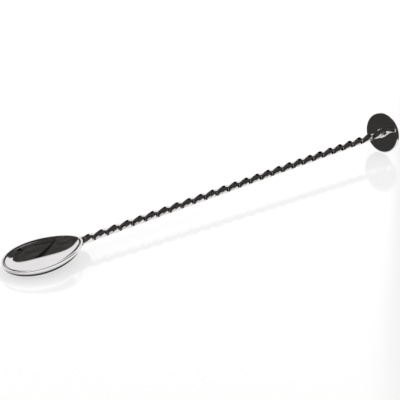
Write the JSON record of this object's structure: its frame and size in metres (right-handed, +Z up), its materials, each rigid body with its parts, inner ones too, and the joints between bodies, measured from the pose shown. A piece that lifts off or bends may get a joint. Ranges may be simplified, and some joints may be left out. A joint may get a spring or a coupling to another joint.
{
  "type": "bar spoon",
  "caption": "Long bar spoon for stirring drinks: shallow egg-shaped bowl, slender left-hand twisted stem and a flat round masher disc at the far end, all in polished stainless steel.",
  "frame": {"origin": "centre of the part's box, on the surface that the spoon lies on", "axes": "+X along the spoon's length from the bowl towards the masher disc, +Z up, +Y to the bowl's left side; the stem climbs slightly towards the disc as it does when the spoon lies down"},
  "size_m": [0.2806, 0.0318, 0.0255],
  "materials": {
    "polished_steel": "mirror polished pressed stainless sheet with fine use scratches",
    "weld_steel": "polished stainless weld, slightly softer than the bowl",
    "stem_steel": "polished twisted stainless bar, faint draw lines along its faces",
    "collar_steel": "turned and polished stainless ring",
    "disc_steel": "mirror polished stainless disc with fine concentric turning and rub marks"
  },
  "bodies": {
    "root": {"spoon_bowl": "polished_steel", "bowl_neck": "weld_steel", "twisted_stem": "stem_steel", "masher_collar": "collar_steel", "masher_disc": "disc_steel"}
  },
  "joints": []
}
